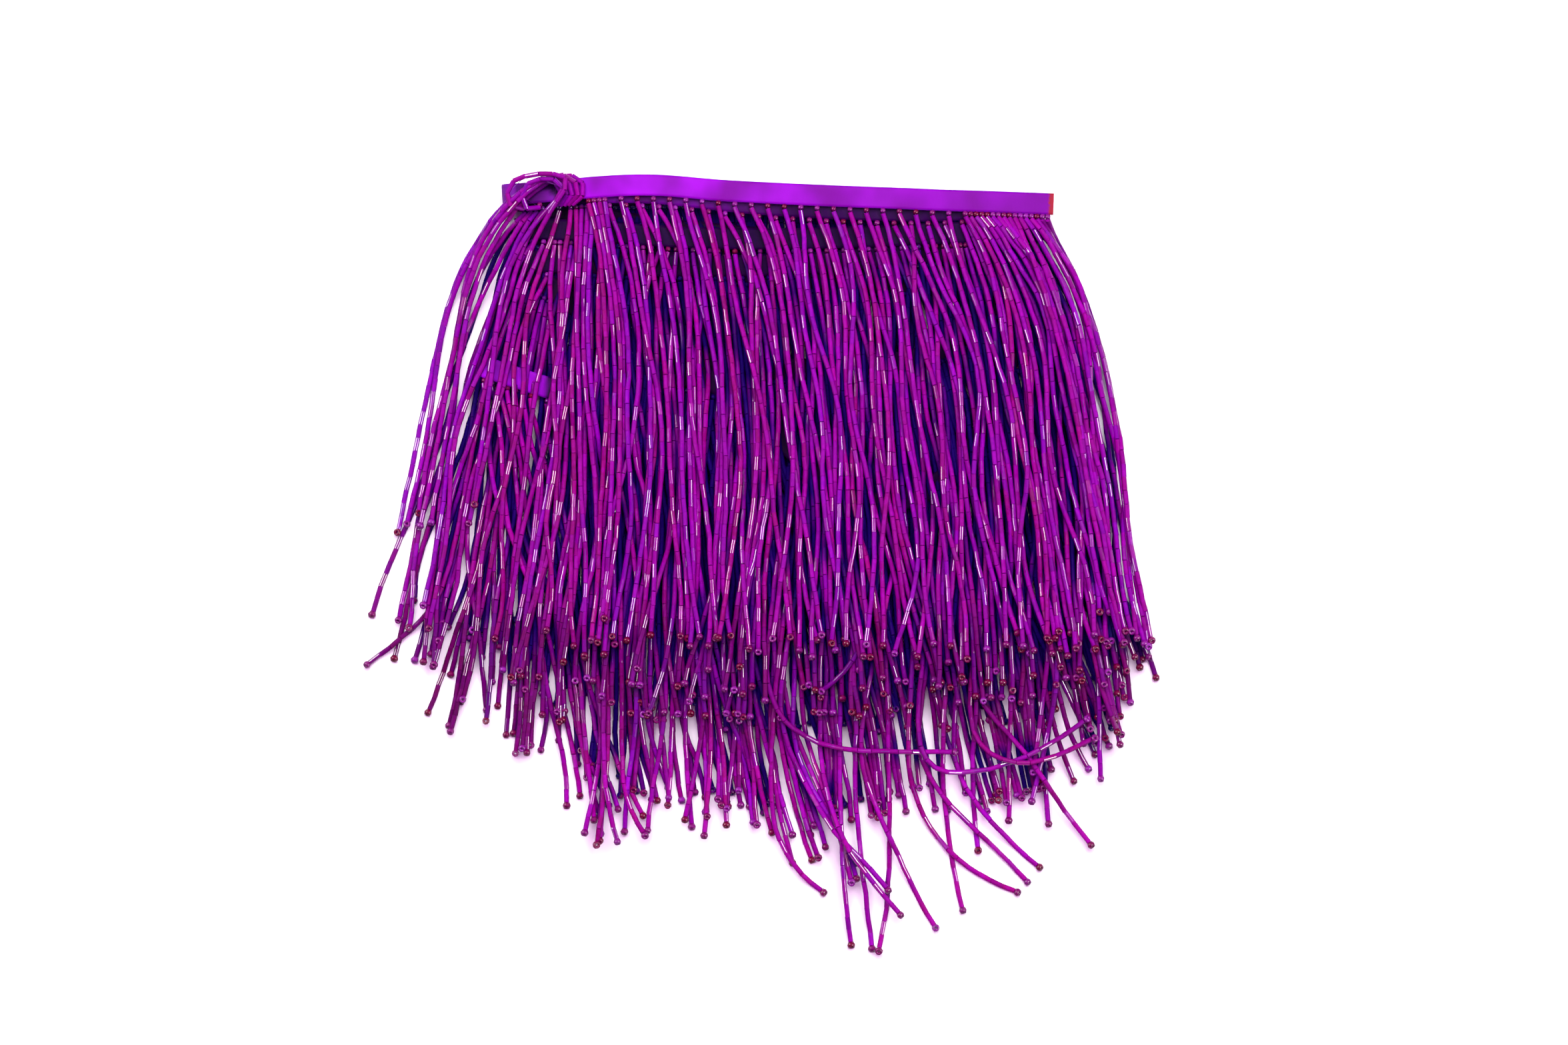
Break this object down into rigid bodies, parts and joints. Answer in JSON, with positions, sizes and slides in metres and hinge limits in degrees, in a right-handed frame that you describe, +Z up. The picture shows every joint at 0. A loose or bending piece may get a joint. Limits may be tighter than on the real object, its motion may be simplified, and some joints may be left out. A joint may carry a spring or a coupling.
{
  "type": "roll of beaded fringe",
  "caption": "Beaded fringe trimming wound flat: a satin tape folded to and fro with long strands of tube beads hanging from its edge.",
  "frame": {"origin": "middle of the bottom of the bundle's box, on the surface that it lies on", "axes": "+Z up from the surface; the tape runs along X at +Y, and the strands hang from it towards -Y"},
  "size_m": [0.365, 0.3562, 0.0334],
  "materials": {
    "satin": "satin",
    "beads": "gloss"
  },
  "bodies": {
    "root": {"satin_tape": "satin", "fringe_1": "beads", "fringe_2": "beads", "fringe_3": "beads", "fringe_4": "beads", "fringe_5": "beads", "fringe_6": "beads", "fringe_7": "beads", "fringe_8": "beads", "fringe_9": "beads"}
  },
  "joints": []
}
